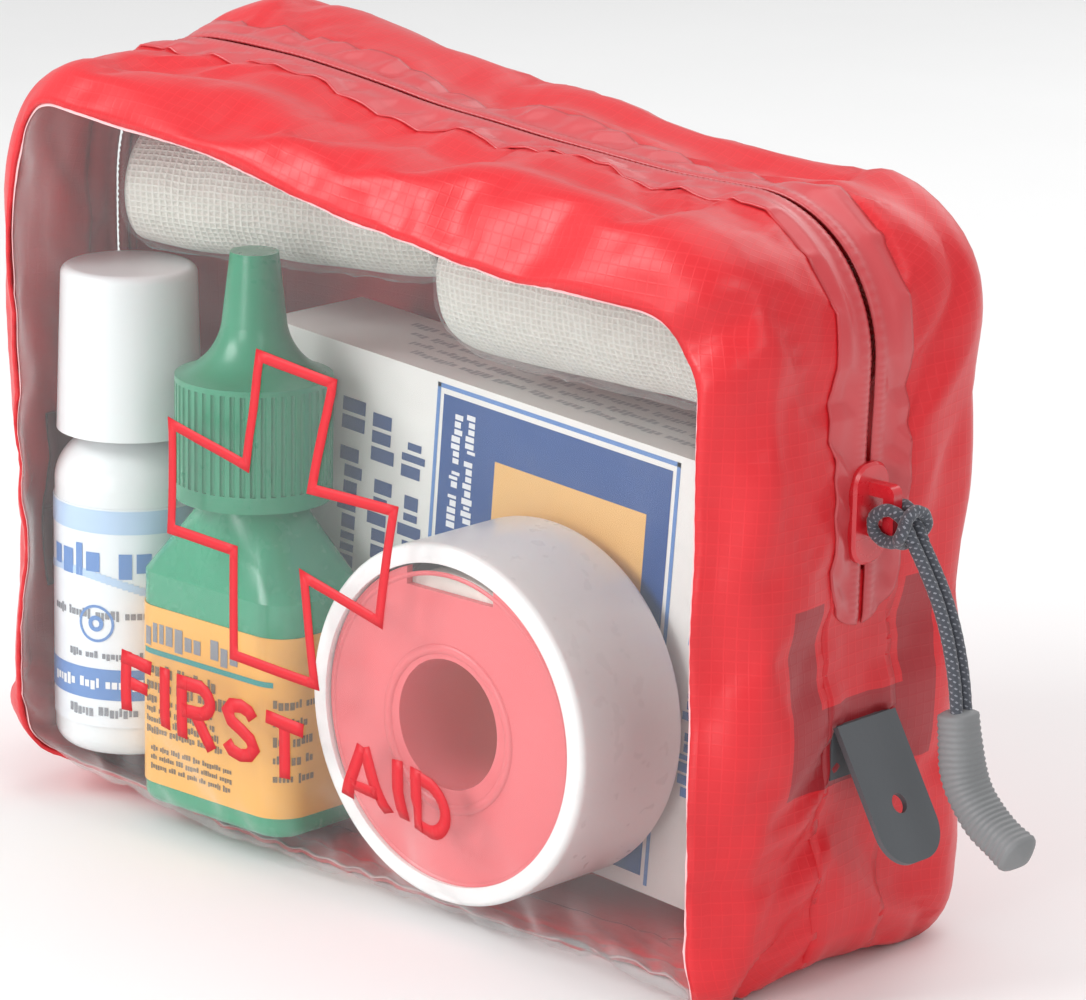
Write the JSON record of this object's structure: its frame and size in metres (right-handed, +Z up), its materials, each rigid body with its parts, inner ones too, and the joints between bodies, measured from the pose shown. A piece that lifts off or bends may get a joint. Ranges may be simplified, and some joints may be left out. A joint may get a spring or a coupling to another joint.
{
  "type": "first aid kit",
  "caption": "Soft red zip pouch with a large clear window, hang tabs and a cord pull, packed with bottles, tape reel, plaster carton and gauze rolls.",
  "frame": {"origin": "middle of the pouch's footprint, on the surface it stands on", "axes": "+X to the right seen from the window side, -Y towards the window, +Z up"},
  "size_m": [0.2272, 0.066, 0.13],
  "materials": {
    "red_ripstop": "coated ripstop, satin",
    "clear_film": "clear flexible film",
    "zip_laminate": "laminated zip tape, semi-gloss",
    "zip_coil": "woven-in nylon coil",
    "slider_red": "lacquered red",
    "cord_grey": "braided cord with light flecks",
    "grip_rubber": "soft moulded rubber, fine ribs",
    "tab_grey": "dark laminated webbing film",
    "patch_dark": "dark reinforcing fabric",
    "reel_white": "translucent white plastic",
    "reel_red": "soft red plastic",
    "tape_cloth": "woven adhesive tape",
    "flask_green": "green polyethylene",
    "flask_label": "coated paper label",
    "spray_white": "white polyethylene",
    "spray_label": "coated paper label",
    "carton_board": "printed folding board",
    "plaster_cloth": "elastic plaster cloth",
    "gauze": "open cotton weave",
    "wrap_film": "crackling clear film"
  },
  "bodies": {
    "pouch": {"front_panel": "red_ripstop", "rear_panel": "red_ripstop", "base_gusset": "red_ripstop", "window_film": "clear_film", "zip_tape_front": "zip_laminate", "zip_tape_rear": "zip_laminate", "zip_coil_front": "zip_coil", "zip_coil_rear": "zip_coil", "zip_stop_right": "zip_coil", "zip_stop_left": "zip_coil", "reel_ring": "reel_white", "flask_bottle": "flask_green", "flask_plug": "spray_white", "flask_label": "flask_label", "spray_bottle": "spray_white", "spray_collar": "spray_white", "spray_dip_tube": "spray_white", "spray_overcap": "spray_white", "spray_label": "spray_label", "plaster_carton": "carton_board", "plaster_strips": "plaster_cloth", "tab_root_right": "tab_grey", "tab_root_left": "tab_grey", "end_patch_right": "patch_dark", "end_patch_left": "patch_dark", "gauze_roll_left": "gauze", "gauze_roll_right": "gauze", "gauze_wrap_left": "wrap_film", "gauze_wrap_right": "wrap_film"},
    "slider": {"slider_body": "slider_red", "slider_bridge": "slider_red"},
    "pull": {"cord_hitch": "cord_grey", "pull_cord_front": "cord_grey", "pull_cord_rear": "cord_grey", "pull_grip": "grip_rubber"},
    "tab_flap_right": {"tab_right": "tab_grey"},
    "tab_flap_left": {"tab_left": "tab_grey"},
    "spool": {"reel_spool": "reel_red", "reel_tape": "tape_cloth"},
    "bottle_cap": {"flask_cap": "flask_green"},
    "pump": {"spray_button": "spray_white"}
  },
  "joints": [
    {"name": "zip_slide", "type": "slide", "parent": "pouch", "child": "slider", "axis": [0, 0, 1], "range_m": [0, 0.016]},
    {"name": "pull_swing", "type": "hinge", "parent": "slider", "child": "pull", "pos_m": [0.09385, 0, 0.0806], "axis": [0, -1, 0], "range_deg": [-8, 60]},
    {"name": "tab_right_fold", "type": "hinge", "parent": "pouch", "child": "tab_flap_right", "pos_m": [0.0893, 0, 0.046], "axis": [0, -1, 0], "range_deg": [-28, 18], "stiffness_Nm_per_rad": 0.002},
    {"name": "tab_left_fold", "type": "hinge", "parent": "pouch", "child": "tab_flap_left", "pos_m": [-0.0893, 0, 0.046], "axis": [0, 1, 0], "range_deg": [-28, 110], "stiffness_Nm_per_rad": 0.002},
    {"name": "spool_turn", "type": "hinge", "parent": "pouch", "child": "spool", "pos_m": [0.023, -0.0169, 0.0361], "axis": [0, 1, 0], "continuous": true},
    {"name": "cap_unscrew", "type": "hinge", "parent": "pouch", "child": "bottle_cap", "pos_m": [-0.036, -0.0168, 0.08], "axis": [0, 0, 1], "continuous": true},
    {"name": "pump_press", "type": "slide", "parent": "pouch", "child": "pump", "axis": [0, 0, -1], "range_m": [0, 0.0035], "stiffness_N_per_m": 400}
  ]
}
